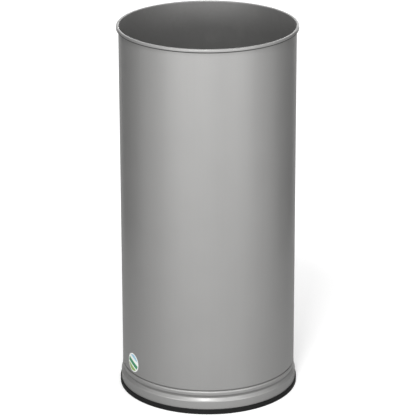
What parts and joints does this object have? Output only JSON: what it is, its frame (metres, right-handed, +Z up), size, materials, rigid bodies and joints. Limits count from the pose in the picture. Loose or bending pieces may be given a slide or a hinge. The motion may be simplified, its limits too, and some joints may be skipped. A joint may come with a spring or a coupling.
{
  "type": "litter bin",
  "caption": "Open-topped round sheet-steel litter bin with a curled rim, a grooved foot ring, a pressed floor and a rubber edge profile that protects the ground",
  "frame": {"origin": "on the ground at the centre of the foot", "axes": "+Z up along the bin's axis; -Y is the front; the shell's lap weld is at the back, +Y, and the label is low at the front left"},
  "size_m": [0.3012, 0.3012, 0.63],
  "materials": {
    "painted_steel": "silver-grey satin powder coat",
    "black_rubber": "matte black",
    "printed_film": "satin printed film, plain abstract shapes in green, blue and white"
  },
  "bodies": {
    "root": {"body_shell": "painted_steel", "foot_ring": "painted_steel", "floor_pan": "painted_steel", "edge_protector": "black_rubber", "label": "printed_film"}
  },
  "joints": []
}
